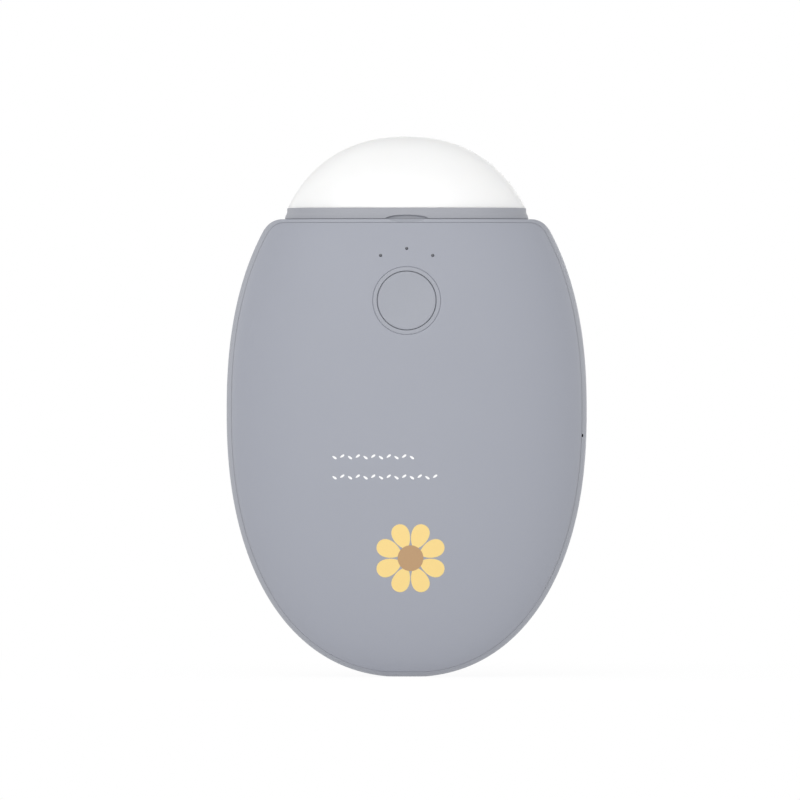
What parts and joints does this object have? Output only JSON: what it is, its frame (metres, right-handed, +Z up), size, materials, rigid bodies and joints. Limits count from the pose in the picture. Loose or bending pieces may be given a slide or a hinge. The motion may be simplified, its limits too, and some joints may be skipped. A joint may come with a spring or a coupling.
{
  "type": "rechargeable hand warmer",
  "caption": "Upright pebble-shaped hand warmer with a pressed button, indicator dots and a lift-off opal lamp cap over its charging inlet.",
  "frame": {"origin": "centre of the flat foot that the hand warmer stands on", "axes": "+X along the width, to the right seen from the front; +Y from the front with the button to the back; +Z up to the lamp dome"},
  "size_m": [0.07, 0.028, 0.1049],
  "materials": {
    "soft_touch_shell": "soft-touch painted ABS, matte",
    "frame_plastic": "soft-touch painted ABS, matte",
    "button_plastic": "moulded ABS, matte",
    "opal_dome": "opal polycarbonate, satin",
    "clear_pipe": "smoked polycarbonate, polished",
    "white_plastic": "moulded white ABS",
    "frosted_lens": "frosted polycarbonate",
    "nickel": "bright nickel plate",
    "steel": "zinc-plated steel",
    "board_green": "glass-epoxy board with solder mask",
    "black_plastic": "moulded epoxy, matte",
    "led_body": "phosphor and clear epoxy",
    "ribbon_film": "polyimide ribbon",
    "cell_foil": "laminated aluminium pouch",
    "heat_plate": "rolled aluminium",
    "heating_film": "polyimide heating film",
    "foam": "closed-cell foam",
    "red_wire": "silicone wire",
    "black_wire": "silicone wire",
    "white_wire": "insulated wire"
  },
  "bodies": {
    "case": {"front_cover": "soft_touch_shell", "back_cover": "soft_touch_shell", "mid_frame": "frame_plastic", "button_bezel": "button_plastic", "light_pipes": "clear_pipe", "deck_magnets": "nickel", "lamp_base": "white_plastic", "lamp_lenses": "frosted_lens", "top_board": "board_green", "lamp_leds": "led_body", "socket_shell": "nickel", "socket_tongue": "black_plastic", "board_ribbon": "ribbon_film", "main_board": "board_green", "board_chips": "black_plastic", "power_inductor": "black_plastic", "indicator_leds": "led_body", "switch_base": "black_plastic", "temperature_sensor": "black_plastic", "sensor_lead": "white_wire", "battery_cells": "cell_foil", "cell_tabs": "nickel", "protection_board": "board_green", "positive_lead": "red_wire", "negative_lead": "black_wire", "chassis_tray": "white_plastic", "front_heat_plate": "heat_plate", "back_heat_plate": "heat_plate", "front_heating_film": "heating_film", "back_heating_film": "heating_film", "heater_leads": "red_wire", "front_foam_pad": "foam", "back_foam_pad": "foam", "chassis_screws": "steel", "board_screws": "steel", "top_board_screws": "steel"},
    "button": {"button_cap": "button_plastic"},
    "plunger": {"switch_plunger": "white_plastic"},
    "cap": {"cap_ring": "frame_plastic", "lamp_dome": "opal_dome", "cap_magnets": "nickel"}
  },
  "joints": [
    {"name": "button_press", "type": "slide", "parent": "case", "child": "button", "axis": [0, 1, 0], "range_m": [0, 0.0005], "stiffness_N_per_m": 300},
    {"name": "switch_plunger_press", "type": "slide", "parent": "case", "child": "plunger", "axis": [0, 1, 0], "range_m": [0, 0.0005]},
    {"name": "cap_lift", "type": "slide", "parent": "case", "child": "cap", "axis": [0, 0, 1], "range_m": [0, 0.025]}
  ],
  "couplings": [
    {"joint": "switch_plunger_press", "follows": "button_press", "ratio": 1}
  ]
}
